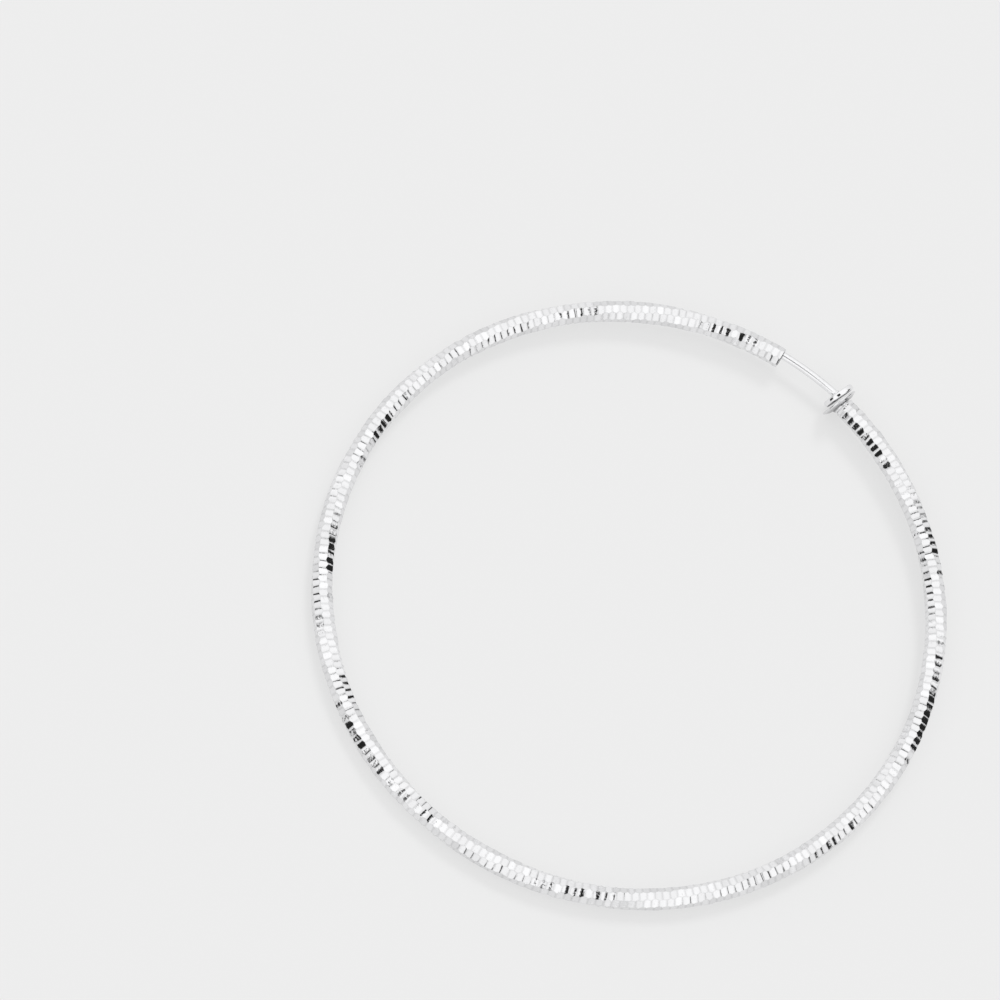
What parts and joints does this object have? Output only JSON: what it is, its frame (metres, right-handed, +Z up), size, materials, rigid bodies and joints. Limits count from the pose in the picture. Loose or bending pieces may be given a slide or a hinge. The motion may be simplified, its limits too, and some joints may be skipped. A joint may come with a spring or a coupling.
{
  "type": "hoop earring",
  "caption": "Clip-on hoop earring of hollow diamond-cut metal tube: a sprung wire slides into the tube's open end and presses a small round pad against a larger fixed one.",
  "frame": {"origin": "bottom centre of the box, on the surface that the hoop lies on", "axes": "+Z up, +Y from the far side of the hoop to its clip; the hoop's own axis leans 0.85 degrees from +Z towards -Y, because the fixed pad lifts the clip's side"},
  "size_m": [0.08, 0.0814, 0.0049],
  "materials": {
    "diamond_cut_silver": "bright diamond-cut silver-coloured metal",
    "polished_silver": "bright polished silver-coloured metal",
    "drawn_silver_wire": "bright drawn and polished silver-coloured wire"
  },
  "bodies": {
    "hoop": {"hoop_tube": "diamond_cut_silver", "fixed_pad": "polished_silver"},
    "slide": {"slide_rod": "drawn_silver_wire", "rod_pad": "polished_silver"}
  },
  "joints": [
    {"name": "wire_slide", "type": "hinge", "parent": "hoop", "child": "slide", "pos_m": [0, -0.00072, 0.00192], "axis": [0, -0.0148, 0.9999], "range_deg": [0, 10], "stiffness_Nm_per_rad": 0.03, "springref_deg": -1.72}
  ]
}
